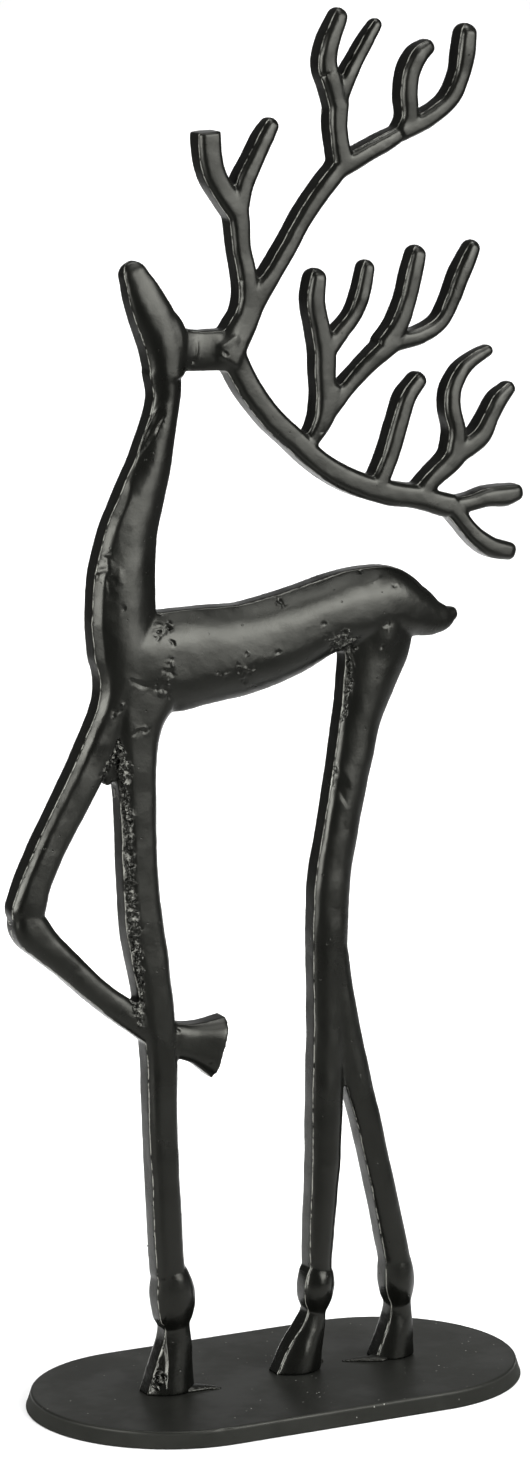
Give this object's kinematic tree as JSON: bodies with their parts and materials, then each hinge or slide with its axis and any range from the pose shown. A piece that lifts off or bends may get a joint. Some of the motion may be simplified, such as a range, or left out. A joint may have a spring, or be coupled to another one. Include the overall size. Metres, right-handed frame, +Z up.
{
  "type": "cast iron stag statue",
  "caption": "Slender stylised stag figure with branching antlers and one raised foreleg, cast flat in black iron and standing on an oval plate.",
  "frame": {"origin": "centre of the plate's underside, on the surface it stands on", "axes": "+Z up, X along the plate with the stag's head towards -X, the figure lying in the plane y = 0"},
  "size_m": [0.2065, 0.104, 0.4999],
  "materials": {
    "black_cast_iron": "satin black paint over a sand casting, with pits, a ground band along the parting seam and rough skin in the crotches",
    "black_plate": "satin black paint over a smooth plate with fine specks"
  },
  "bodies": {
    "root": {"stag": "black_cast_iron", "base_plate": "black_plate"}
  },
  "joints": []
}
